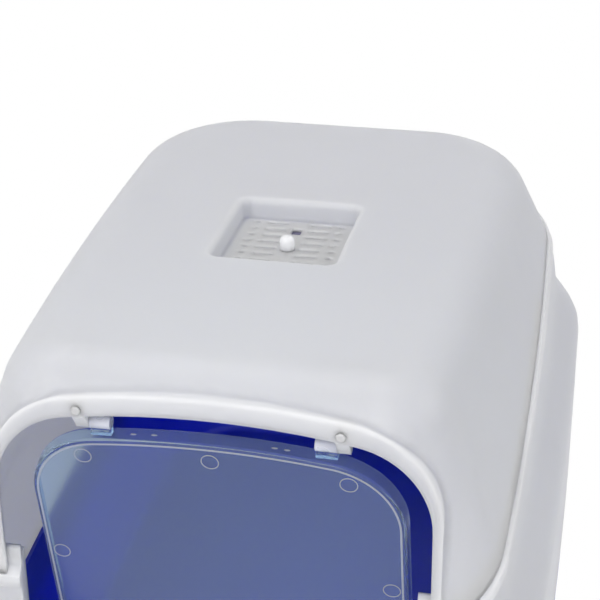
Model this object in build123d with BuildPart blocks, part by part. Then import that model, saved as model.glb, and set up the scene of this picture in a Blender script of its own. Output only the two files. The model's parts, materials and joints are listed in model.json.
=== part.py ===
from build123d import *
from math import atan, cos, degrees, radians, sin, tan
import os

# Covered litter box with a flip-up cover, a swinging flap and a filtered roof vent.
# Millimetres, +Z up, origin on the floor under the middle of the pan, entrance towards -Y.
os.makedirs("parts", exist_ok=True)

# Hood: half widths, rear faces and heights of the level outlines that its lip follows, from the
# base to the crown. The shells lie inside them by lip_out.
hood_wall = 2.8
base_z = 80.0
base_half_width = 199.0
base_front_y = -258.0
base_rear_y = 258.0
hip_z = 192.0
hip_half_width = 200.0
hip_rear_y = 258.0
waist_z = 230.0
waist_half_width = 182.0
waist_rear_y = 241.0
shoulder_z = 268.0
shoulder_half_width = 178.0
shoulder_rear_y = 235.0
crown_z = 412.0
crown_half_width = 122.0
crown_rear_y = 205.0
front_lean = 8.0
front_corner = 42.0
rear_corner = 92.0
side_bow_front = 4.0
side_bow_rear = 9.0
hip_blend = 9.0
waist_blend = 8.0
shoulder_blend = 10.0

# Roof
roof_z = 388.0
roof_slope = 6.6
roof_crown = 5.0
roof_edge = 38.0

# Parting line between the cover and the lower hood: a steep front end and a gentle fall forwards
seam_gap = 0.4
seam_knee_y = -208.0
seam_knee_z = 264.5
seam_front_rise = 45.0
seam_rear_rise = 2.4
seam_bend = 60.0
lip_out = 2.0
lip_height = 7.0
tongue_clearance = 0.4
tongue_wall = 2.2
tongue_height = 9.0
tongue_root = 8.0
tongue_end_y = 60.0

# Entrance in the cover, measured up the leaning front face
opening_top_z = 362.0
opening_half_width = 134.5
opening_arch = 16.6
opening_corner = 54.0
opening_run = 150.0
collar_side = 6.0
collar_top = 13.0
collar_corner = 64.0
collar_proud = 1.5
collar_depth = 40.0

# Entrance in the lower hood
sill_z = 130.0
gate_half_width = 126.0
gate_corner = 22.0
gate_return = 10.0
post_depth = 26.0
post_cap = 4.0

# Flap, its pivots and its two hangers
hinge_z = 346.0
hinge_setback = 8.5
hanger_spacing = 160.0
hanger_width = 8.0
hanger_radius = 4.2
hanger_depth = 6.5
hanger_top_z = 364.5
hanger_bottom_z = 354.0
hanger_slot = 2.7
pivot_radius = 1.6
pivot_clearance = 0.08
stem_z = 360.5
stem_radius = 2.0
dome_radius = 3.2
dome_height = 2.0
dome_round = 1.6
stem_clearance = 0.05
flap_top_gap = 17.0
flap_hang = 5.0
flap_front = 11.0
flap_half_width = 116.8
flap_height = 206.0
flap_arch = 12.8
flap_corner = 50.0
flap_foot_corner = 26.0
flap_wall = 1.6
flap_depth = 12.0
flap_flare = 1.3
flap_edge = 2.6
tab_width = 13.0
tab_radius = 4.2
tab_thickness = 4.4
tab_play = 0.3
tab_drop = 9.0

# Roof vent
vent_y = -2.0
vent_width = 86.0
vent_length = 96.0
vent_depth = 15.0
vent_corner = 7.0
vent_wall = 2.4
vent_draft = 4.0
vent_lip = 2.0
slot_rows = 9
slot_pitch = 10.2
slot_width = 2.6
long_slot = 15.2
long_slot_x = 15.2
short_slot = 4.8
short_slot_x = 30.5
square_hole_y = 29.0
square_hole_width = 7.5
square_hole_length = 10.0
round_hole_y = -23.0
round_hole_radius = 3.5

# Filter pad, its tray and the knob that holds them under the vent
layer_gap = 0.3
pad_thickness = 5.0
pad_width = 74.0
pad_length = 84.0
pad_corner = 6.0
pad_margin = 0.5
pad_hole_radius = 13.0
tray_wall = 1.8
tray_columns = 4
tray_rows = 5
tray_bar = 2.4
hub_radius = 11.5
knob_radius = 5.2
knob_height = 10.0
knob_round = 4.2
knob_gap = 0.1
shaft_radius = 3.0
shaft_clearance = 0.06
key_length = 17.0
key_width = 4.4
key_height = 2.6
key_clearance = 0.4

# Rear hinge of the cover
pivot_z = 287.0
knuckle_radius = 6.0
knuckle_offset = 1.6
knuckle_length = 14.0
knuckle_clearance = 0.6
ear_length = 6.0
side_play = 0.4
pin_radius = 2.5
pin_clearance = 0.08
pin_head = 1.2
pin_head_radius = 3.6
pin_chamfer = 0.5
hinge_x = 50.0
arm_height = 16.0
bracket_drop = 26.0

# Pan
pan_wall = 2.8
pan_floor = 3.0
pan_rim_z = 112.0
pan_rim_gap = 2.2
pan_taper = 22.0
pan_flange_inset = 2.3
pan_flange_thickness = 3.6
pan_skirt = 2.4
pan_skirt_drop = 9.0
pan_foot_round = 9.0
seat_gap = 0.3

reach = 320.0


def lip_front_y(z):
    """Front of the outline that the lip follows, at a height."""
    return base_front_y + (z - base_z) * tan(radians(front_lean))


def front_y(z):
    """Front face of the shells at a height."""
    return lip_front_y(z) + lip_out


def rear_y(z):
    """Rear face of the cover at a height between the shoulder and the crown."""
    share = (z - shoulder_z) / (crown_z - shoulder_z)
    return shoulder_rear_y + share * (crown_rear_y - shoulder_rear_y) - lip_out


def roof_top(y):
    """Height of the roof's ridge at a distance from the middle."""
    return roof_z - (y - hinge_y) * tan(radians(roof_slope))


def seam_z(y):
    """Height of the long rear run of the parting line."""
    return seam_knee_z + (y - seam_knee_y) * tan(radians(seam_rear_rise))


def soft_turn(below, level, above, height):
    """Three outlines that round a turn of the hood's profile, over a height each way."""
    start = level + (below - level) * (height / (level.Z - below.Z))
    end = level + (above - level) * (height / (above.Z - level.Z))
    return [start, level * 0.5 + (start + end) * 0.25, end]


base = Vector(base_half_width, base_rear_y, base_z)
hip = Vector(hip_half_width, hip_rear_y, hip_z)
waist = Vector(waist_half_width, waist_rear_y, waist_z)
shoulder = Vector(shoulder_half_width, shoulder_rear_y, shoulder_z)
crown = Vector(crown_half_width, crown_rear_y, crown_z)
hood_levels = [
    base,
    *soft_turn(base, hip, waist, hip_blend),
    *soft_turn(hip, waist, shoulder, waist_blend),
    *soft_turn(waist, shoulder, crown, shoulder_blend),
    crown,
]
hinge_y = front_y(opening_top_z) + hinge_setback
lean_cos = cos(radians(front_lean))
lean_sin = sin(radians(front_lean))
slope_cos = cos(radians(roof_slope))
slope_sin = sin(radians(roof_slope))
front_plane = Plane(
    origin=(0, front_y(hinge_z), hinge_z), x_dir=(1, 0, 0), z_dir=(0, -lean_cos, lean_sin)
)
vent_plane = Plane(
    origin=(0, vent_y, roof_top(vent_y)), x_dir=(1, 0, 0), z_dir=(0, slope_sin, slope_cos)
)
pivot_y = rear_y(pivot_z) + knuckle_radius + knuckle_offset


def up_front(z):
    """Distance up the leaning front face from the flap's axis to a height."""
    return (z - hinge_z) / lean_cos


def plan(z, half_width, y_front, y_rear, inset):
    """Level outline: a flat front, bowed sides and rounded corners, drawn in by an inset."""
    y_mid = 0.6 * y_front + 0.4 * y_rear
    with BuildSketch(Plane.XY.offset(z)) as outline:
        with BuildLine():
            left = ThreePointArc(
                (-half_width + side_bow_front, y_front),
                (-half_width, y_mid),
                (-half_width + side_bow_rear, y_rear),
            )
            right = ThreePointArc(
                (half_width - side_bow_rear, y_rear),
                (half_width, y_mid),
                (half_width - side_bow_front, y_front),
            )
            Line(left @ 1, right @ 0)
            Line(right @ 1, left @ 0)
        make_face()
        fillet(outline.vertices().group_by(Axis.Y)[0], front_corner)
        fillet(outline.vertices().group_by(Axis.Y)[-1], rear_corner)
        if inset:
            offset(amount=-inset, mode=Mode.REPLACE)
    return outline.sketch


def hood_form(inset):
    """Whole closed form of the hood, drawn in from the lip's face by an inset."""
    drop = (inset - lip_out) / slope_cos
    with BuildPart() as form:
        for level in hood_levels:
            add(plan(level.Z, level.X, lip_front_y(level.Z), level.Y, inset))
        loft(ruled=True)
        with BuildSketch(Plane.YZ):
            with BuildLine():
                ridge = ThreePointArc(
                    (-reach, roof_top(-reach) - roof_crown - drop),
                    (0, roof_top(0) - drop),
                    (reach, roof_top(reach) - roof_crown - drop),
                )
                Polyline(ridge @ 1, (reach, 0), (-reach, 0), ridge @ 0)
            make_face()
        extrude(amount=reach, both=True, mode=Mode.INTERSECT)
        fillet(form.faces().sort_by(Axis.Z)[-1].edges(), roof_edge - inset)
    return form.part


def under_seam(lift):
    """Everything below the parting line, moved up by a lift."""
    knee_z = seam_knee_z + lift
    front_run = seam_knee_y + reach
    rear_run = reach - seam_knee_y
    with BuildPart() as region:
        with BuildSketch(Plane.YZ):
            with BuildLine():
                edge = FilletPolyline(
                    (-reach, knee_z - front_run * tan(radians(seam_front_rise))),
                    (seam_knee_y, knee_z),
                    (reach, knee_z + rear_run * tan(radians(seam_rear_rise))),
                    radius=seam_bend,
                )
                Polyline(edge @ 1, (reach, 0), (-reach, 0), edge @ 0)
            make_face()
        extrude(amount=reach, both=True)
    return region.part


def arched(half_width, crest, arch, corner, foot, foot_corner=0):
    """Outline with an arched top, rounded top corners and a straight foot."""
    with BuildSketch() as outline:
        with BuildLine():
            top = ThreePointArc((-half_width, crest - arch), (0, crest), (half_width, crest - arch))
            Polyline(top @ 1, (half_width, foot), (-half_width, foot), top @ 0)
        make_face()
        fillet(outline.vertices().group_by(Axis.Y)[-1], corner)
        if foot_corner:
            fillet(outline.vertices().group_by(Axis.Y)[0], foot_corner)
    return outline.sketch


opening_foot = up_front(seam_knee_z) - opening_run
flange_z = base_z - seat_gap
tub_floor = vent_depth + vent_wall
flap_crest = up_front(opening_top_z) - flap_top_gap
tab_x = hanger_spacing / 2 - hanger_width / 2 - tab_play - tab_width / 2
hang_cos = cos(radians(flap_hang))
hang_sin = sin(radians(flap_hang))
flap_plane = Plane(
    origin=(0, hinge_y - flap_front * hang_cos, hinge_z - flap_front * hang_sin),
    x_dir=(-1, 0, 0),
    z_dir=(0, hang_cos, hang_sin),
)
flare_angle = degrees(atan(flap_flare / flap_depth))


def least_at_rim(base_size, hip_size):
    """A size of the hood where the pan's rim passes its base and stands inside its wall."""
    share = (pan_rim_z - base_z) / (hip_z - base_z)
    return min(base_size, base_size + (hip_size - base_size) * share)


def pan_form(inset, floor_z):
    """Closed form of the tub from a floor level to its rim, drawn in from its outside by an inset."""
    rim_inset = lip_out + hood_wall + pan_rim_gap + inset
    foot_inset = rim_inset + pan_taper * (1 - floor_z / base_z)
    with BuildPart() as form:
        add(plan(floor_z, base_half_width, base_front_y, base_rear_y, foot_inset))
        add(plan(base_z, base_half_width, base_front_y, base_rear_y, rim_inset))
        rim_half_width = least_at_rim(base_half_width, hip_half_width)
        rim_rear_y = least_at_rim(base_rear_y, hip_rear_y)
        add(plan(pan_rim_z, rim_half_width, lip_front_y(pan_rim_z), rim_rear_y, rim_inset))
        loft(ruled=True)
        fillet(form.faces().sort_by(Axis.Z)[0].edges(), pan_foot_round - inset)
    return form.part


def entrance(side, top, corner):
    """Outline of the cover's entrance, grown at its sides and top."""
    crest = up_front(opening_top_z) + top
    return arched(opening_half_width + side, crest, opening_arch, corner, opening_foot)


def flap_outline(inset):
    """Outline of the flap's front face, drawn in by an inset."""
    return arched(
        flap_half_width - inset,
        flap_crest - inset,
        flap_arch,
        flap_corner - inset,
        flap_crest - flap_height + inset,
        flap_foot_corner - inset,
    )


def collar_back_y(z):
    """Back face of the collar at a height."""
    return front_y(z) + (hood_wall - collar_proud) / lean_cos


def gate(margin):
    """Outline of the lower hood's part of the entrance, grown by a margin."""
    half = gate_half_width + margin
    low = up_front(sill_z) - margin
    high = up_front(seam_knee_z)
    with BuildSketch() as outline:
        with Locations((0, (low + high) / 2)):
            Rectangle(2 * half, high - low)
        fillet(outline.vertices().group_by(Axis.Y)[0], gate_corner + margin)
    return outline.sketch


def ring_profile(x, y, z, radius, points):
    """Round boss about a point joined to a polygon, drawn on the plane across the box at x."""
    with BuildSketch(Plane.YZ.offset(x)) as profile:
        with Locations((y, z)):
            Circle(radius)
        with BuildLine():
            Polyline(*points, close=True)
        make_face()
    return profile.sketch


shell_in = lip_out + hood_wall
tongue_out = shell_in + tongue_clearance
tongue_in = tongue_out + tongue_wall
ear_offset = knuckle_length / 2 + side_play + ear_length / 2
bracket_z = pivot_z - bracket_drop
arm_z = pivot_z + arm_height
lip_top_z = seam_z(pivot_y)
wall_y = rear_y(pivot_z) - hood_wall / 2
lip_form = hood_form(0)
outer_form = hood_form(lip_out)
middle_form = hood_form(lip_out + hood_wall / 2)
inner_form = hood_form(shell_in)

# Pan: a tapered tub, a flange with a skirt for the hood to stand on, and an upstand inside the hood
with BuildPart() as pan:
    with BuildSketch(Plane.XY.offset(flange_z)):
        add(plan(0, base_half_width, base_front_y, base_rear_y, pan_flange_inset))
    extrude(amount=-pan_skirt_drop)
    with BuildSketch(Plane.XY.offset(flange_z - pan_flange_thickness)):
        add(plan(0, base_half_width, base_front_y, base_rear_y, pan_flange_inset + pan_skirt))
    extrude(amount=-pan_skirt_drop, mode=Mode.SUBTRACT)
    add(pan_form(0, 0))
    add(pan_form(pan_wall, pan_floor), mode=Mode.SUBTRACT)
pan.part.label = "pan"
export_step(pan.part, "parts/pan.step")

# Lower hood: the shell below the parting line with a proud lip, a locating tongue behind the
# cover's edge, a framed gate, and two pairs of ears for the cover's hinge
with BuildPart() as lip:
    add(lip_form)
    add(middle_form, mode=Mode.SUBTRACT)
    add(under_seam(0), mode=Mode.INTERSECT)
    add(under_seam(-lip_height), mode=Mode.SUBTRACT)

with BuildPart() as tongue_strip:
    add(hood_form(tongue_out))
    add(under_seam(tongue_height), mode=Mode.INTERSECT)
    with Locations((0, tongue_end_y, 0)):
        Box(2 * reach, reach, 3 * reach, align=(Align.CENTER, Align.MIN, Align.CENTER), mode=Mode.SUBTRACT)

with BuildPart() as tongue:
    add(middle_form)
    add(under_seam(0), mode=Mode.INTERSECT)
    add(tongue_strip.part)
    add(under_seam(-tongue_root), mode=Mode.SUBTRACT)
    add(hood_form(tongue_in), mode=Mode.SUBTRACT)

with BuildPart() as gate_frame:
    with BuildSketch(front_plane):
        add(gate(hood_wall))
    extrude(amount=-gate_return)
    with BuildSketch(front_plane):
        with Locations((0, up_front(seam_knee_z))):
            Rectangle(2 * (gate_half_width + post_depth), 2 * post_depth)
    extrude(amount=-gate_return)
    add(under_seam(-post_cap), mode=Mode.SUBTRACT)
    with BuildSketch(front_plane):
        add(gate(hood_wall))
    extrude(amount=-gate_return)
    add(under_seam(0), mode=Mode.INTERSECT)
    add(middle_form, mode=Mode.INTERSECT)

with BuildPart() as lower_hood:
    add(outer_form)
    add(inner_form, mode=Mode.SUBTRACT)
    add(under_seam(0), mode=Mode.INTERSECT)
    add(lip.part)
    add(tongue.part)
    add(gate_frame.part)
    with BuildSketch(front_plane.offset(gate_return)):
        add(gate(0))
    extrude(amount=-3 * gate_return, mode=Mode.SUBTRACT)
    for x in (-hinge_x, hinge_x):
        with BuildSketch(Plane.YZ.offset(x - knuckle_length / 2 - side_play)):
            with Locations((pivot_y, pivot_z)):
                Circle(knuckle_radius + knuckle_clearance)
        extrude(amount=knuckle_length + 2 * side_play, mode=Mode.SUBTRACT)
        for side in (-1, 1):
            extrude(
                ring_profile(
                    x + side * ear_offset - ear_length / 2,
                    pivot_y,
                    pivot_z,
                    knuckle_radius,
                    [
                        (pivot_y + knuckle_radius, pivot_z),
                        (rear_y(bracket_z), bracket_z),
                        (wall_y, bracket_z),
                        (wall_y, lip_top_z - hood_wall),
                        (rear_y(pivot_z) + lip_out, lip_top_z - hood_wall / 2),
                        (pivot_y - knuckle_radius, pivot_z),
                    ],
                ),
                amount=ear_length,
            )
        with BuildSketch(Plane.YZ.offset(x - ear_offset - ear_length)):
            with Locations((pivot_y, pivot_z)):
                Circle(pin_radius + pin_clearance)
        extrude(amount=2 * (ear_offset + ear_length), mode=Mode.SUBTRACT)
lower_hood.part.label = "lower_hood"
export_step(lower_hood.part, "parts/lower_hood.step")

# Top cover: the shell above the parting line with its collar, entrance, vent pocket and knuckles
with BuildPart() as top_cover:
    add(outer_form)
    with BuildSketch(front_plane.offset(collar_proud)):
        add(entrance(collar_side, collar_top, collar_corner))
    extrude(amount=-collar_depth)
    add(inner_form, mode=Mode.SUBTRACT)
    with BuildSketch(front_plane.offset(collar_proud - hood_wall)):
        add(entrance(collar_side - hood_wall, collar_top - hood_wall, collar_corner - hood_wall))
    extrude(amount=-collar_depth, mode=Mode.SUBTRACT)
    with BuildSketch(front_plane.offset(collar_depth / 2)):
        add(entrance(0, 0, opening_corner))
    extrude(amount=-2 * collar_depth, mode=Mode.SUBTRACT)
    add(under_seam(seam_gap), mode=Mode.SUBTRACT)
    with BuildSketch(vent_plane.offset(-vent_lip)):
        RectangleRounded(vent_width + 2 * vent_wall, vent_length + 2 * vent_wall, vent_corner + vent_wall)
    extrude(amount=vent_lip - tub_floor, taper=vent_draft)
    with BuildSketch(vent_plane.offset(vent_lip)):
        RectangleRounded(vent_width, vent_length, vent_corner)
    extrude(amount=-vent_depth - vent_lip, taper=vent_draft, mode=Mode.SUBTRACT)
    with BuildSketch(vent_plane.offset(-vent_depth)):
        with GridLocations(2 * long_slot_x, slot_pitch, 2, slot_rows):
            SlotOverall(long_slot, slot_width)
        with GridLocations(2 * short_slot_x, slot_pitch, 2, slot_rows):
            SlotOverall(short_slot, slot_width)
        with Locations((0, square_hole_y)):
            Rectangle(square_hole_width, square_hole_length)
        with Locations((0, round_hole_y)):
            Circle(round_hole_radius)
        Circle(shaft_radius + shaft_clearance)
    extrude(amount=-2 * vent_wall, mode=Mode.SUBTRACT)
    for x in (-hinge_x, hinge_x):
        extrude(
            ring_profile(
                x - knuckle_length / 2,
                pivot_y,
                pivot_z,
                knuckle_radius,
                [
                    (pivot_y, pivot_z + knuckle_radius),
                    (rear_y(arm_z), arm_z),
                    (rear_y(arm_z) - hood_wall / 2, arm_z),
                    (wall_y, lip_top_z + hood_wall / 2),
                    (pivot_y - knuckle_radius, pivot_z),
                ],
            ),
            amount=knuckle_length,
        )
        with BuildSketch(Plane.YZ.offset(x - knuckle_length)):
            with Locations((pivot_y, pivot_z)):
                Circle(pin_radius + pin_clearance)
        extrude(amount=2 * knuckle_length, mode=Mode.SUBTRACT)
    with BuildSketch(front_plane.offset(collar_proud)):
        with Locations((-hanger_spacing / 2, up_front(stem_z)), (hanger_spacing / 2, up_front(stem_z))):
            Circle(stem_radius + stem_clearance)
    extrude(amount=-hood_wall, mode=Mode.SUBTRACT)
top_cover.part.label = "top_cover"
export_step(top_cover.part, "parts/top_cover.step")

# Cover hinge pins: each runs through two ears and the knuckle between them
for name, x in (("left", -hinge_x), ("right", hinge_x)):
    with BuildPart() as pin:
        with BuildSketch(Plane.YZ.offset(x - ear_offset - ear_length / 2)):
            with Locations((pivot_y, pivot_z)):
                Circle(pin_radius)
        extrude(amount=2 * ear_offset + ear_length + pin_head)
        chamfer(pin.faces().sort_by(Axis.X)[-1].edges(), pin_chamfer)
        with BuildSketch(Plane.YZ.offset(x - ear_offset - ear_length / 2)):
            with Locations((pivot_y, pivot_z)):
                Circle(pin_head_radius)
        extrude(amount=-pin_head)
        chamfer(pin.faces().sort_by(Axis.X)[0].edges(), pin_chamfer)
    pin.part.label = f"cover_hinge_pin_{name}"
    export_step(pin.part, f"parts/cover_hinge_pin_{name}.step")

# Hinge clips: a hook round the flap's pivot, an arm up the back of the collar and a snap-in stem
for name, x in (("left", -hanger_spacing / 2), ("right", hanger_spacing / 2)):
    with BuildPart() as clip:
        extrude(
            ring_profile(
                x - hanger_width / 2,
                hinge_y,
                hinge_z,
                hanger_radius,
                [
                    (hinge_y - hanger_radius, hinge_z),
                    (collar_back_y(hanger_bottom_z), hanger_bottom_z),
                    (collar_back_y(hanger_top_z), hanger_top_z),
                    (collar_back_y(hanger_top_z) + hanger_depth, hanger_top_z),
                    (hinge_y + hanger_radius, hinge_z),
                ],
            ),
            amount=hanger_width,
        )
        with BuildSketch(Plane.YZ.offset(x - hanger_width / 2)):
            with Locations((hinge_y, hinge_z)):
                Circle(pivot_radius + pivot_clearance)
            with Locations((hinge_y + hanger_radius, hinge_z)):
                Rectangle(2 * hanger_radius, hanger_slot)
        extrude(amount=hanger_width, mode=Mode.SUBTRACT)
        with BuildSketch(front_plane.offset(collar_proud - hood_wall)):
            with Locations((x, up_front(stem_z))):
                Circle(stem_radius)
        extrude(amount=hood_wall)
        with BuildSketch(front_plane.offset(collar_proud)):
            with Locations((x, up_front(stem_z))):
                Circle(dome_radius)
        extrude(amount=dome_height)
        fillet(clip.faces().sort_by(Axis.Y)[0].outer_wire().edges(), dome_round)
    clip.part.label = f"hinge_clip_{name}"
    export_step(clip.part, f"parts/hinge_clip_{name}.step")

# Flap: a thin dished panel with a flared rim, two tabs on its top edge and a pivot on each
with BuildPart() as flap_door:
    with BuildSketch(flap_plane):
        add(flap_outline(0))
    extrude(amount=flap_depth, taper=-flare_angle)
    fillet(flap_door.faces().sort_by(Axis.Y)[0].edges(), flap_edge)
    with BuildSketch(flap_plane.offset(flap_wall)):
        add(flap_outline(flap_wall))
    extrude(amount=flap_depth, taper=-flare_angle, mode=Mode.SUBTRACT)
    for side in (-1, 1):
        with BuildSketch(Plane.YZ.offset(side * tab_x - tab_width / 2)):
            with Locations((hinge_y, hinge_z)):
                Circle(tab_radius)
            with Locations((hinge_y, hinge_z - tab_drop / 2)):
                Rectangle(tab_thickness, tab_drop)
        extrude(amount=tab_width)
        with BuildSketch(Plane.YZ.offset(side * tab_x)):
            with Locations((hinge_y, hinge_z)):
                Circle(pivot_radius)
        extrude(amount=side * (hanger_spacing / 2 + hanger_width / 2 - tab_x))
flap_door.part.label = "flap_door"
export_step(flap_door.part, "parts/flap_door.step")

# Filter pad: a foam square under the vent's grille with a hole for the tray's hub
pad_top = tub_floor + layer_gap
tray_top = pad_top + pad_thickness + layer_gap
tray_bottom = tray_top + tray_wall
key_top = tray_bottom + layer_gap
with BuildPart() as filter_pad:
    with BuildSketch(vent_plane.offset(-pad_top)):
        RectangleRounded(pad_width, pad_length, pad_corner)
        Circle(pad_hole_radius, mode=Mode.SUBTRACT)
    extrude(amount=-pad_thickness)
filter_pad.part.label = "filter_pad"
export_step(filter_pad.part, "parts/filter_pad.step")

# Filter holder: a tray with a barred floor and a hub whose slot lets the knob's key through
tray_width = pad_width + 2 * (pad_margin + tray_wall)
tray_length = pad_length + 2 * (pad_margin + tray_wall)
tray_corner = pad_corner + pad_margin
cell_width = (tray_width - 2 * tray_wall - (tray_columns + 1) * tray_bar) / tray_columns
cell_length = (tray_length - 2 * tray_wall - (tray_rows + 1) * tray_bar) / tray_rows
with BuildPart() as filter_holder:
    with BuildSketch(vent_plane.offset(-tub_floor)):
        RectangleRounded(tray_width, tray_length, tray_corner + tray_wall)
        RectangleRounded(
            tray_width - 2 * tray_wall, tray_length - 2 * tray_wall, tray_corner, mode=Mode.SUBTRACT
        )
    extrude(amount=tub_floor - tray_bottom)
    with BuildSketch(vent_plane.offset(-tray_top)):
        RectangleRounded(tray_width, tray_length, tray_corner + tray_wall)
        with GridLocations(cell_width + tray_bar, cell_length + tray_bar, tray_columns, tray_rows):
            Rectangle(cell_width, cell_length, mode=Mode.SUBTRACT)
    extrude(amount=-tray_wall)
    with BuildSketch(vent_plane.offset(-pad_top)):
        Circle(hub_radius)
    extrude(amount=pad_top - tray_bottom)
    with BuildSketch(vent_plane.offset(-pad_top)):
        Circle(shaft_radius + shaft_clearance)
        Rectangle(key_length + 2 * key_clearance, key_width + 2 * key_clearance)
    extrude(amount=pad_top - tray_bottom, mode=Mode.SUBTRACT)
filter_holder.part.label = "filter_holder"
export_step(filter_holder.part, "parts/filter_holder.step")

# Vent knob: a domed grip in the pocket, a shaft through the grille and a cross key under the hub
with BuildPart() as vent_knob:
    with BuildSketch(vent_plane.offset(knob_gap - vent_depth)):
        Circle(knob_radius)
    extrude(amount=knob_height)
    fillet(vent_knob.faces().sort_by(Axis.Z)[-1].edges(), knob_round)
    with BuildSketch(vent_plane.offset(knob_gap - vent_depth)):
        Circle(shaft_radius)
    extrude(amount=vent_depth - knob_gap - key_top)
    with BuildSketch(vent_plane.offset(-key_top)):
        Rectangle(key_width, key_length)
        Circle(shaft_radius)
    extrude(amount=-key_height)
vent_knob.part.label = "vent_knob"
export_step(vent_knob.part, "parts/vent_knob.step")
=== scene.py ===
import json
import math

import bmesh
import bpy
from mathutils import Matrix, Vector
from mathutils.bvhtree import BVHTree


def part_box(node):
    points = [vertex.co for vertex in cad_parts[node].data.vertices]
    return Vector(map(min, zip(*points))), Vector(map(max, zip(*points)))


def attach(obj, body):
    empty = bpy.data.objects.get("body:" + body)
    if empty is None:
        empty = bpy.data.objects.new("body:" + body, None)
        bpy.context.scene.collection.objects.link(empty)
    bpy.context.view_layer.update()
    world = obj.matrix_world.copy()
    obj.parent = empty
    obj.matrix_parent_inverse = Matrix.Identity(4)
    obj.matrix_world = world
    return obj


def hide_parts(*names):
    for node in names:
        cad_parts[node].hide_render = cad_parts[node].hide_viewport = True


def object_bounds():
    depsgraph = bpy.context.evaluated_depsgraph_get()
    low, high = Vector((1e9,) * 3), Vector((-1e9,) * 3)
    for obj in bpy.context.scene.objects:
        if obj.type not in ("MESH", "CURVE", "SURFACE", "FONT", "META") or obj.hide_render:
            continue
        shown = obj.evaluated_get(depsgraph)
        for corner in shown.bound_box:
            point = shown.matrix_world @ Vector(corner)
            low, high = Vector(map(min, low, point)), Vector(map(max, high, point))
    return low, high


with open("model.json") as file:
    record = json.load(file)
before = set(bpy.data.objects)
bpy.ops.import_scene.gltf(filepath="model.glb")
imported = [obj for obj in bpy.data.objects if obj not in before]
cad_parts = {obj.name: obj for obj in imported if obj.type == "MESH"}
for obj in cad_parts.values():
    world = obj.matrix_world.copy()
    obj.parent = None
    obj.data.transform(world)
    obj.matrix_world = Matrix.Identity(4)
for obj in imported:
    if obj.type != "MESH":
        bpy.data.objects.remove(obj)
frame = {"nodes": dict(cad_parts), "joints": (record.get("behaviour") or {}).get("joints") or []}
packed_low, packed_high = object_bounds()

# Camera: where it stands and how it is turned
camera_place = Vector((0.24398, -0.97100, 0.96369))
camera_yaw = 0.23998
camera_pitch = 0.58233
camera_roll = 0.04749
camera_lens = 102
camera_sensor = 36

# Light: places, widths and watts of the soft boxes, and the strength of the pale surroundings
key_place = Vector((-0.15, -2.0, 1.5))
key_width = 2.2
key_power = 33
fill_place = Vector((1.9, 0.35, 1.2))
fill_width = 1.4
fill_power = 6.5
top_place = Vector((-0.5, 0.3, 2.4))
top_width = 1.4
top_power = 11.5
room_strength = 0.5

# Floor: its width, how far it lies under the box, its paint, and where the shadow fades to white
floor_width = 8
floor_drop = 0.0005
floor_colour = (0.86, 0.86, 0.87, 1)
floor_roughness = 0.85
shadow_inset = 0.035
shadow_fade = 0.02
white = (1, 1, 1, 1)

# Meshes taken from the frame
merge_distance = 1e-6
sharp_turn = math.radians(28)

# Flap: its lean, where its pivots are cut from the door, the marks that its mould left on it, and the
# painted highlight strip along its fold
flap_hang = math.radians(5)
flap_front = 0.011
pivot_drop = 0.0034
pivot_inner_x = 0.06
flat_enough = 0.9999
level_slack = 0.0001
mark_lift = 0.1
ray_start = 0.1
pin_mark_sides = 48
pin_mark_radius = 0.0056
pin_mark_width = 0.00055
pin_mark_height = 0.0002
# Width and height of the raised strip along the flap's fold, which is a painted highlight
fold_highlight_width = 0.0013
fold_highlight_height = 0.00015
pin_marks = ((0, 0.0132), (0.0836, 0.0200), (-0.0800, 0.0190), (0.1070, 0.1070), (-0.1062, 0.1060))
nub_size = (0.0020, 0.0007, 0.0002)
nubs = (-0.0475, -0.0345, 0.0390, 0.0465)
nub_depth = 0.0055
nub_ray_start = 0.05

# Collar: the zone whose steps are blended, and how far its faces may turn inwards or to the rear
collar_back_y = -0.10
collar_foot_z = 0.24
collar_middle_z = 0.28
collar_inward = -0.2
collar_rearward = 0.2

# Vent recess: how far its rim is rounded, and how the rim is found
mouth_round = 0.0045
mouth_segments = 5
mouth_reach = 0.07
mouth_drop = 0.001
mouth_turn = math.radians(50)
mouth_upward = 0.98


def swing_axis(joint_name):
    """Where a joint's axis stands in the frame."""
    return next(Vector(joint["pos_m"]) for joint in frame["joints"] if joint["name"] == joint_name)


def socket(group, name, kind, way, value=None):
    """A named input or output of a node group."""
    made = group.interface.new_socket(name=name, in_out=way, socket_type=kind)
    if value is not None:
        made.default_value = value


def node(tree, kind, **settings):
    """A node with its settings."""
    made = tree.nodes.new(kind)
    for name, value in settings.items():
        setattr(made, name, value)
    return made


def noise(tree, place, scale, detail=3.0, roughness=0.5):
    """A noise over the piece's own place, with the scale from a socket or a value."""
    made = node(tree, "ShaderNodeTexNoise")
    made.inputs["Detail"].default_value = detail
    made.inputs["Roughness"].default_value = roughness
    tree.links.new(place, made.inputs["Vector"])
    if isinstance(scale, (int, float)):
        made.inputs["Scale"].default_value = scale
    else:
        tree.links.new(scale, made.inputs["Scale"])
    return made.outputs["Fac"]


def spread(tree, value, low, high, to_low=0.0, to_high=1.0):
    """A value carried from one range to another."""
    made = node(tree, "ShaderNodeMapRange")
    made.inputs["From Min"].default_value = low
    made.inputs["From Max"].default_value = high
    for name, end in (("To Min", to_low), ("To Max", to_high)):
        if isinstance(end, (int, float)):
            made.inputs[name].default_value = end
        else:
            tree.links.new(end, made.inputs[name])
    tree.links.new(value, made.inputs["Value"])
    return made.outputs["Result"]


def blended(tree, share, first, second):
    """Two colours blended by a share."""
    made = node(tree, "ShaderNodeMix", data_type="RGBA")
    tree.links.new(share, made.inputs[0])
    tree.links.new(first, made.inputs[6])
    tree.links.new(second, made.inputs[7])
    return made.outputs[2]


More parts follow.
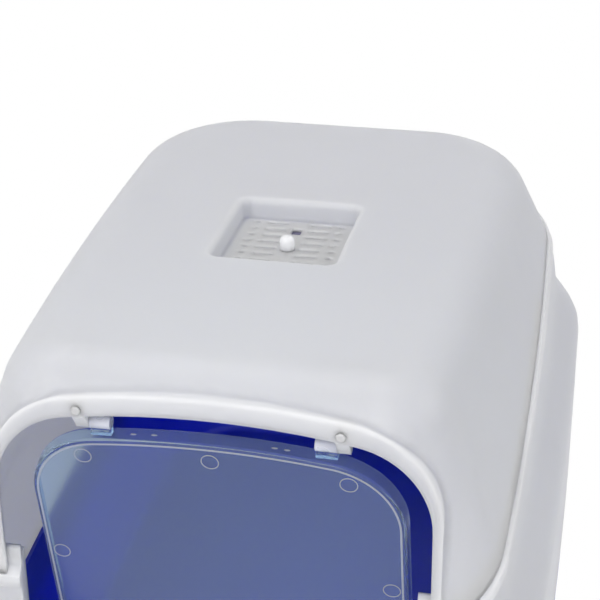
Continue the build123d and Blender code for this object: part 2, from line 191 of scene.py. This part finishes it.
def sums(tree, operation, first, second):
    """An arithmetic node on two sockets or values."""
    made = node(tree, "ShaderNodeMath", operation=operation)
    for place, value in enumerate((first, second)):
        if isinstance(value, (int, float)):
            made.inputs[place].default_value = value
        else:
            tree.links.new(value, made.inputs[place])
    return made.outputs[0]


def seen_share(tree):
    """1 for what the camera sees, also in gloss and through the flap, and 0 for what only lights."""
    rays = node(tree, "ShaderNodeLightPath").outputs
    seen = sums(tree, "MAXIMUM", rays["Is Camera Ray"], rays["Is Glossy Ray"])
    return sums(tree, "MAXIMUM", seen, rays["Is Transmission Ray"])


def make_moulded_skin():
    """Moulded plastic: a faint cloudiness, an uneven gloss, fine grain and softly broken edges."""
    group = bpy.data.node_groups.new("moulded_skin", "ShaderNodeTree")
    socket(group, "Colour", "NodeSocketColor", "INPUT", (0.7, 0.7, 0.7, 1))
    socket(group, "Cloud Colour", "NodeSocketColor", "INPUT", (0.6, 0.6, 0.6, 1))
    socket(group, "Cloud Scale", "NodeSocketFloat", "INPUT", 9.0)
    socket(group, "Grain Scale", "NodeSocketFloat", "INPUT", 900.0)
    socket(group, "Grain Height", "NodeSocketFloat", "INPUT", 0.1)
    socket(group, "Least Roughness", "NodeSocketFloat", "INPUT", 0.3)
    socket(group, "Most Roughness", "NodeSocketFloat", "INPUT", 0.4)
    socket(group, "Edge Radius", "NodeSocketFloat", "INPUT", 0.0007)
    socket(group, "Colour", "NodeSocketColor", "OUTPUT")
    socket(group, "Roughness", "NodeSocketFloat", "OUTPUT")
    socket(group, "Normal", "NodeSocketVector", "OUTPUT")
    start = node(group, "NodeGroupInput").outputs
    end = node(group, "NodeGroupOutput").inputs
    place = node(group, "ShaderNodeTexCoord").outputs["Object"]
    cloud = spread(group, noise(group, place, start["Cloud Scale"]), 0.3, 0.7)
    colour = blended(group, cloud, start["Colour"], start["Cloud Colour"])
    group.links.new(colour, end["Colour"])
    gloss = noise(group, place, sums(group, "MULTIPLY", start["Cloud Scale"], 7.0), 4.0)
    rough = spread(group, gloss, 0.3, 0.7, start["Least Roughness"], start["Most Roughness"])
    group.links.new(rough, end["Roughness"])
    rounded = node(group, "ShaderNodeBevel", samples=8)
    group.links.new(start["Edge Radius"], rounded.inputs["Radius"])
    bump = node(group, "ShaderNodeBump")
    bump.inputs["Distance"].default_value = 0.0002
    group.links.new(noise(group, place, start["Grain Scale"], 2.0), bump.inputs["Height"])
    group.links.new(start["Grain Height"], bump.inputs["Strength"])
    group.links.new(rounded.outputs["Normal"], bump.inputs["Normal"])
    group.links.new(bump.outputs["Normal"], end["Normal"])
    return group


def make_frosting():
    """Frosted see-through plastic: a milky haze with clouds, and short rubbed scratches."""
    group = bpy.data.node_groups.new("frosting", "ShaderNodeTree")
    socket(group, "Colour", "NodeSocketColor", "INPUT", (0.8, 0.85, 0.9, 1))
    socket(group, "Rub Colour", "NodeSocketColor", "INPUT", (0.9, 0.9, 0.95, 1))
    socket(group, "Cloud Scale", "NodeSocketFloat", "INPUT", 14.0)
    socket(group, "Rub Scale", "NodeSocketFloat", "INPUT", 60.0)
    socket(group, "Least Roughness", "NodeSocketFloat", "INPUT", 0.3)
    socket(group, "Most Roughness", "NodeSocketFloat", "INPUT", 0.4)
    socket(group, "Colour", "NodeSocketColor", "OUTPUT")
    socket(group, "Roughness", "NodeSocketFloat", "OUTPUT")
    socket(group, "Normal", "NodeSocketVector", "OUTPUT")
    start = node(group, "NodeGroupInput").outputs
    end = node(group, "NodeGroupOutput").inputs
    place = node(group, "ShaderNodeTexCoord").outputs["Object"]
    stretched = node(group, "ShaderNodeMapping")
    stretched.inputs["Scale"].default_value = (1, 1, 0.22)
    stretched.inputs["Rotation"].default_value = (0, 0.6, 0)
    group.links.new(place, stretched.inputs["Vector"])
    lines = noise(group, stretched.outputs["Vector"], start["Rub Scale"], 6.0, 0.7)
    patches = noise(group, place, start["Cloud Scale"], 2.0)
    rubbed = sums(group, "MULTIPLY", spread(group, lines, 0.58, 0.75), spread(group, patches, 0.50, 0.75))
    group.links.new(blended(group, rubbed, start["Colour"], start["Rub Colour"]), end["Colour"])
    haze = spread(group, patches, 0.3, 0.7, start["Least Roughness"], start["Most Roughness"])
    group.links.new(haze, end["Roughness"])
    bump = node(group, "ShaderNodeBump")
    bump.inputs["Distance"].default_value = 0.00005
    bump.inputs["Strength"].default_value = 0.2
    group.links.new(lines, bump.inputs["Height"])
    group.links.new(bump.outputs["Normal"], end["Normal"])
    return group


def make_fibre():
    """Non-woven filter fibre: crossing strands with darker hollows between them."""
    group = bpy.data.node_groups.new("fibre", "ShaderNodeTree")
    socket(group, "Strand Colour", "NodeSocketColor", "INPUT", (0.6, 0.6, 0.65, 1))
    socket(group, "Hollow Colour", "NodeSocketColor", "INPUT", (0.3, 0.3, 0.35, 1))
    socket(group, "Strand Scale", "NodeSocketFloat", "INPUT", 500.0)
    socket(group, "Colour", "NodeSocketColor", "OUTPUT")
    socket(group, "Normal", "NodeSocketVector", "OUTPUT")
    start = node(group, "NodeGroupInput").outputs
    end = node(group, "NodeGroupOutput").inputs
    place = node(group, "ShaderNodeTexCoord").outputs["Object"]
    strands = None
    for turn, squeeze in ((0.5, (1, 0.18, 1)), (-0.7, (0.18, 1, 1))):
        laid = node(group, "ShaderNodeMapping")
        laid.inputs["Rotation"].default_value = (0, 0, turn)
        laid.inputs["Scale"].default_value = squeeze
        group.links.new(place, laid.inputs["Vector"])
        layer = noise(group, laid.outputs["Vector"], start["Strand Scale"], 3.0, 0.6)
        strands = layer if strands is None else sums(group, "MAXIMUM", strands, layer)
    share = spread(group, strands, 0.45, 0.62)
    group.links.new(blended(group, share, start["Hollow Colour"], start["Strand Colour"]), end["Colour"])
    bump = node(group, "ShaderNodeBump")
    bump.inputs["Distance"].default_value = 0.0006
    bump.inputs["Strength"].default_value = 0.6
    group.links.new(strands, bump.inputs["Height"])
    group.links.new(bump.outputs["Normal"], end["Normal"])
    return group


def finish_of(name, group, inputs, plain):
    """A material whose Principled shader takes what a finish group gives, and plain values besides."""
    made = bpy.data.materials.new(name)
    made.use_nodes = True
    tree = made.node_tree
    shader = tree.nodes["Principled BSDF"]
    skin = node(tree, "ShaderNodeGroup", node_tree=group)
    for key, value in inputs.items():
        skin.inputs[key].default_value = value
    tree.links.new(skin.outputs["Colour"], shader.inputs["Base Color"])
    tree.links.new(skin.outputs["Normal"], shader.inputs["Normal"])
    if "Roughness" in skin.outputs:
        tree.links.new(skin.outputs["Roughness"], shader.inputs["Roughness"])
    for key, value in plain.items():
        shader.inputs[key].default_value = value
    return made


moulded_skin = make_moulded_skin()
frosting = make_frosting()
fibre = make_fibre()
white_look = {
    "Colour": (0.815, 0.822, 0.850, 1),
    "Cloud Colour": (0.797, 0.806, 0.838, 1),
    "Cloud Scale": 6.0,
    "Grain Scale": 1400.0,
    "Grain Height": 0.08,
    "Least Roughness": 0.36,
    "Most Roughness": 0.44,
}
white_body = {
    "Specular IOR Level": 0.4,
    "Subsurface Weight": 1.0,
    "Subsurface Radius": (1.0, 1.0, 1.0),
    "Subsurface Scale": 0.017,
}
white_plastic = finish_of("white_plastic", moulded_skin, white_look, white_body)
cover_plastic = finish_of("cover_plastic", moulded_skin, white_look | {"Edge Radius": 0.005}, white_body)
blue_plastic = finish_of(
    "blue_plastic",
    moulded_skin,
    {
        "Colour": (0.064, 0.105, 0.800, 1),
        "Cloud Colour": (0.056, 0.094, 0.750, 1),
        "Cloud Scale": 8.0,
        "Grain Scale": 1100.0,
        "Grain Height": 0.12,
        "Least Roughness": 0.30,
        "Most Roughness": 0.42,
    },
    {
        "Specular IOR Level": 0.4,
        "Subsurface Weight": 1.0,
        "Subsurface Radius": (0.3, 0.4, 1.0),
        "Subsurface Scale": 0.005,
    },
)
frosted_plastic = finish_of(
    "frosted_plastic",
    frosting,
    {
        "Colour": (0.66, 0.82, 0.99, 1),
        "Rub Colour": (0.76, 0.88, 0.99, 1),
        "Cloud Scale": 12.0,
        "Rub Scale": 160.0,
        "Least Roughness": 0.10,
        "Most Roughness": 0.14,
    },
    {"Transmission Weight": 0.93, "IOR": 1.25, "Specular IOR Level": 0.3},
)
# On the pin rings and rim nubs this finish marks real mould marks; on the strip along the fold it is a
# painted highlight
mould_mark_and_highlight_plastic = finish_of(
    "mould_mark_and_highlight_plastic",
    frosting,
    {
        "Colour": (0.46, 0.50, 0.62, 1),
        "Rub Colour": (0.58, 0.61, 0.71, 1),
        "Cloud Scale": 60.0,
        "Rub Scale": 400.0,
        "Least Roughness": 0.3,
        "Most Roughness": 0.5,
    },
    {"Transmission Weight": 0.35, "IOR": 1.3, "Specular IOR Level": 0.4},
)
milky_plastic = finish_of(
    "milky_plastic",
    frosting,
    {
        "Colour": (0.80, 0.82, 0.90, 1),
        "Rub Colour": (0.86, 0.88, 0.94, 1),
        "Cloud Scale": 60.0,
        "Rub Scale": 400.0,
        "Least Roughness": 0.25,
        "Most Roughness": 0.40,
    },
    {"Transmission Weight": 0.25, "IOR": 1.3, "Specular IOR Level": 0.4},
)
# The pad's strand and hollow colours are set far darker than its own pale tone: painted shade that makes
# the grille's slots read dark
filter_fibre_painted_shade = finish_of(
    "filter_fibre_painted_shade",
    fibre,
    {
        "Strand Colour": (0.20, 0.19, 0.29, 1),
        "Hollow Colour": (0.10, 0.10, 0.16, 1),
        "Strand Scale": 420.0,
    },
    {"Roughness": 0.9},
)


def piece(name, form, body, material):
    """A finished mesh as a piece that rides on a body."""
    mesh = bpy.data.meshes.new(name)
    form.to_mesh(mesh)
    form.free()
    mesh.materials.append(material)
    made = bpy.data.objects.new(name, mesh)
    bpy.context.scene.collection.objects.link(made)
    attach(made, body)
    return made


def merged_copy(node_name):
    """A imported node's mesh with its corners joined."""
    form = bmesh.new()
    form.from_mesh(frame["nodes"][node_name].data)
    bmesh.ops.remove_doubles(form, verts=form.verts, dist=merge_distance)
    form.normal_update()
    return form


def edge_middle(edge):
    """The middle of an edge."""
    return (edge.verts[0].co + edge.verts[1].co) / 2


def on_collar(edge):
    """Whether an edge is on the blended outer side of the entrance's collar."""
    spot = edge_middle(edge)
    outward = Vector((spot.x, 0, spot.z - collar_middle_z)).normalized()
    return (
        spot.y < collar_back_y
        and spot.z > collar_foot_z
        and all(face.normal.dot(outward) > collar_inward for face in edge.link_faces)
        and all(face.normal.y < collar_rearward for face in edge.link_faces)
    )


def mark_edges(form):
    """Smooth faces, with only the real edges left sharp."""
    for face in form.faces:
        face.smooth = True
    for edge in form.edges:
        joined = len(edge.link_faces) == 2
        edge.smooth = joined and (edge.calc_face_angle(0) < sharp_turn or on_collar(edge))


def smoothed(name, node_name, body, material, form=None):
    """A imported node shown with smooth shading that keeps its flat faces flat."""
    form = form or merged_copy(node_name)
    mark_edges(form)
    made = piece(name, form, body, material)
    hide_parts(node_name)
    weighted = made.modifiers.new("even_shading", "WEIGHTED_NORMAL")
    weighted.keep_sharp = True
    return made


def cover_with_soft_mouth():
    """The cover with the rim of its vent recess rounded over."""
    form = merged_copy("top_cover")
    knob_low, knob_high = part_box("vent_knob")
    middle = (knob_low + knob_high) / 2
    rim = []
    for edge in form.edges:
        if len(edge.link_faces) != 2 or edge.calc_face_angle_signed(0) < mouth_turn:
            continue
        spot = edge_middle(edge)
        upward = max(face.normal.z for face in edge.link_faces)
        near = abs(spot.x - middle.x) < mouth_reach and abs(spot.y - middle.y) < mouth_reach
        if near and upward > mouth_upward and spot.z > knob_high.z - mouth_drop:
            rim.append(edge)
    bmesh.ops.bevel(
        form,
        geom=rim,
        offset=mouth_round,
        segments=mouth_segments,
        profile=0.5,
        affect="EDGES",
        material=-1,
        clamp_overlap=True,
    )
    form.normal_update()
    return form


# The shells and what they carry
smoothed("blue_pan", "pan", "pan_body", blue_plastic)
smoothed("lower_hood_shell", "lower_hood", "hood_body", white_plastic)
smoothed("cover_shell", "top_cover", "cover_body", cover_plastic, cover_with_soft_mouth())
smoothed("filter_sheet", "filter_pad", "cover_body", filter_fibre_painted_shade)
smoothed("filter_tray", "filter_holder", "cover_body", white_plastic)
smoothed("vent_turn_knob", "vent_knob", "knob_body", white_plastic)
for side in ("left", "right"):
    smoothed(f"flap_clip_{side}", f"hinge_clip_{side}", "cover_body", white_plastic)
    smoothed(f"rear_pin_{side}", f"cover_hinge_pin_{side}", "hood_body", white_plastic)

# The flap and its milky pivots, the mould marks set on its real surface, and a painted highlight strip
# along its fold
flap_axis = swing_axis("flap_swing")
flap_form = merged_copy("flap_door")
flap_surface = BVHTree.FromBMesh(flap_form)
flap_form.free()
flap_out = Vector((0, -math.cos(flap_hang), -math.sin(flap_hang)))
flap_down = Vector((0, math.sin(flap_hang), -math.cos(flap_hang)))
pivot_foot = flap_axis + pivot_drop * flap_down


def flap_part(wants_pivots):
    """The flap cut below its pivots, with either the pivots or the door itself kept and closed."""
    form = merged_copy("flap_door")
    geom = form.verts[:] + form.edges[:] + form.faces[:]
    bmesh.ops.bisect_plane(form, geom=geom, dist=merge_distance, plane_co=pivot_foot, plane_no=flap_down)
    other = []
    for face in form.faces:
        middle = face.calc_center_median()
        above = (middle - pivot_foot).dot(flap_down) < 0
        if wants_pivots != (above and abs(middle.x) > pivot_inner_x):
            other.append(face)
    bmesh.ops.delete(form, geom=other, context="FACES")
    bmesh.ops.holes_fill(form, edges=form.edges[:], sides=0)
    bmesh.ops.triangulate(form, faces=form.faces[:])
    bmesh.ops.recalc_face_normals(form, faces=form.faces)
    return form


smoothed("swing_flap", "flap_door", "flap_body", frosted_plastic, flap_part(False))
pivots = flap_part(True)
mark_edges(pivots)
piece("flap_pivots", pivots, "flap_body", milky_plastic)


def set_on(form, spot, out):
    """Moves a shape drawn at the origin, with +Z out of the surface, to a spot on it."""
    along = Vector((1, 0, 0))
    across = along.cross(out).normalized()
    turn = Matrix((along, -across, out.normalized())).transposed().to_4x4()
    bmesh.ops.transform(form, matrix=Matrix.Translation(spot) @ turn, verts=form.verts)


def outline_strip(form, width, height):
    """Leaves only a raised strip along the edge of a flat face."""
    strip = set(bmesh.ops.inset_region(
        form, faces=form.faces[:], thickness=width, use_boundary=True, use_even_offset=True
    )["faces"])
    bmesh.ops.delete(form, geom=[face for face in form.faces if face not in strip], context="FACES")
    bmesh.ops.solidify(form, geom=form.faces[:], thickness=-height)
    bmesh.ops.recalc_face_normals(form, faces=form.faces)


for number, (x, down) in enumerate(pin_marks, 1):
    start = flap_axis + Vector((x, 0, 0)) + down * flap_down + ray_start * flap_out
    spot, out, _, _ = flap_surface.ray_cast(start, -flap_out)
    ring = bmesh.new()
    bmesh.ops.create_circle(ring, segments=pin_mark_sides, radius=pin_mark_radius, cap_ends=True)
    outline_strip(ring, pin_mark_width, pin_mark_height)
    set_on(ring, spot + out * pin_mark_height * mark_lift, out)
    piece(f"flap_pin_mark_{number}", ring, "flap_body", mould_mark_and_highlight_plastic)

# A raised, more opaque strip around the flap's front face: a painted highlight for the light that the
# rounded fold refracts
fold_highlight = merged_copy("flap_door")
levels = {
    face: face.calc_center_median().dot(flap_out)
    for face in fold_highlight.faces
    if face.normal.dot(flap_out) > flat_enough
}
front_level = max(levels.values())
behind = [face for face in fold_highlight.faces if not front_level - levels.get(face, -1) < level_slack]
bmesh.ops.delete(fold_highlight, geom=behind, context="FACES")
bmesh.ops.dissolve_faces(fold_highlight, faces=fold_highlight.faces[:])
outline_strip(fold_highlight, fold_highlight_width, fold_highlight_height)
bmesh.ops.translate(fold_highlight, vec=flap_out * fold_highlight_height * mark_lift, verts=fold_highlight.verts)
piece("flap_fold_highlight", fold_highlight, "flap_body", mould_mark_and_highlight_plastic)

for number, x in enumerate(nubs, 1):
    above = flap_axis + Vector((x, 0, 0)) - nub_ray_start * flap_down
    start = above + (flap_front - nub_depth) * flap_out
    spot, out, _, _ = flap_surface.ray_cast(start, flap_down)
    nub = bmesh.new()
    bmesh.ops.create_icosphere(nub, subdivisions=3, radius=1)
    bmesh.ops.scale(nub, vec=Vector(nub_size), verts=nub.verts)
    for face in nub.faces:
        face.smooth = True
    set_on(nub, spot, out)
    piece(f"flap_rim_nub_{number}", nub, "flap_body", mould_mark_and_highlight_plastic)

# Floor: pale, with the box's shadow near it, and white further off
floor_form = bmesh.new()
bmesh.ops.create_grid(floor_form, x_segments=1, y_segments=1, size=floor_width / 2)
floor_mesh = bpy.data.meshes.new("studio_floor")
floor_form.to_mesh(floor_mesh)
floor_form.free()
floor = bpy.data.objects.new("studio_floor", floor_mesh)
floor.location = (0, 0, -floor_drop)
bpy.context.scene.collection.objects.link(floor)
floor_paint = bpy.data.materials.new("floor_paint")
floor_paint.use_nodes = True
paint = floor_paint.node_tree
matt = paint.nodes["Principled BSDF"]
matt.inputs["Base Color"].default_value = floor_colour
matt.inputs["Roughness"].default_value = floor_roughness
glow = node(paint, "ShaderNodeEmission")
glow.inputs["Color"].default_value = white
place = node(paint, "ShaderNodeTexCoord").outputs["Object"]
mirrored = node(paint, "ShaderNodeVectorMath", operation="ABSOLUTE")
paint.links.new(place, mirrored.inputs[0])
beyond = node(paint, "ShaderNodeVectorMath", operation="SUBTRACT")
paint.links.new(mirrored.outputs[0], beyond.inputs[0])
beyond.inputs[1].default_value = (packed_high.x - shadow_inset, packed_high.y - shadow_inset, 0)
outside = node(paint, "ShaderNodeVectorMath", operation="MAXIMUM")
paint.links.new(beyond.outputs[0], outside.inputs[0])
outside.inputs[1].default_value = (0, 0, 0)
distance = node(paint, "ShaderNodeVectorMath", operation="LENGTH")
paint.links.new(outside.outputs[0], distance.inputs[0])
away = spread(paint, distance.outputs["Value"], 0.0, shadow_fade)
share = sums(paint, "MULTIPLY", seen_share(paint), away)
mixed = node(paint, "ShaderNodeMixShader")
paint.links.new(share, mixed.inputs[0])
paint.links.new(matt.outputs[0], mixed.inputs[1])
paint.links.new(glow.outputs[0], mixed.inputs[2])
paint.links.new(mixed.outputs[0], paint.nodes["Material Output"].inputs["Surface"])
floor_mesh.materials.append(floor_paint)

# Surroundings: white where they are seen, softer where they light the box
room = bpy.data.worlds.new("studio_room")
room.use_nodes = True
bpy.context.scene.world = room
air = room.node_tree
strength = spread(air, seen_share(air), 0.0, 1.0, room_strength, 1.0)
air.nodes["Background"].inputs["Color"].default_value = white
air.links.new(strength, air.nodes["Background"].inputs["Strength"])


def soft_box(name, place, width, power):
    """A square lamp that faces the middle of the box."""
    lamp = bpy.data.lights.new(name, "AREA")
    lamp.size = width
    lamp.energy = power
    made = bpy.data.objects.new(name, lamp)
    made.location = place
    middle = (packed_low + packed_high) / 2
    made.rotation_euler = (middle - place).to_track_quat("-Z", "Y").to_euler()
    bpy.context.scene.collection.objects.link(made)


soft_box("key_light", key_place, key_width, key_power)
soft_box("fill_light", fill_place, fill_width, fill_power)
soft_box("top_light", top_place, top_width, top_power)

# Camera at the photograph's angle
forward = Vector((
    -math.sin(camera_yaw) * math.cos(camera_pitch),
    math.cos(camera_yaw) * math.cos(camera_pitch),
    -math.sin(camera_pitch),
))
right = Vector((math.cos(camera_yaw), math.sin(camera_yaw), 0))
down = forward.cross(right)
rolled_right = math.cos(camera_roll) * right + math.sin(camera_roll) * down
rolled_down = math.cos(camera_roll) * down - math.sin(camera_roll) * right
lens = bpy.data.cameras.new("camera")
lens.lens = camera_lens
lens.sensor_width = camera_sensor
camera = bpy.data.objects.new("camera", lens)
stand = Matrix((rolled_right, -rolled_down, -forward)).transposed().to_4x4()
camera.matrix_world = Matrix.Translation(camera_place) @ stand
bpy.context.scene.collection.objects.link(camera)
bpy.context.scene.camera = camera
bpy.context.scene.view_settings.view_transform = "Standard"
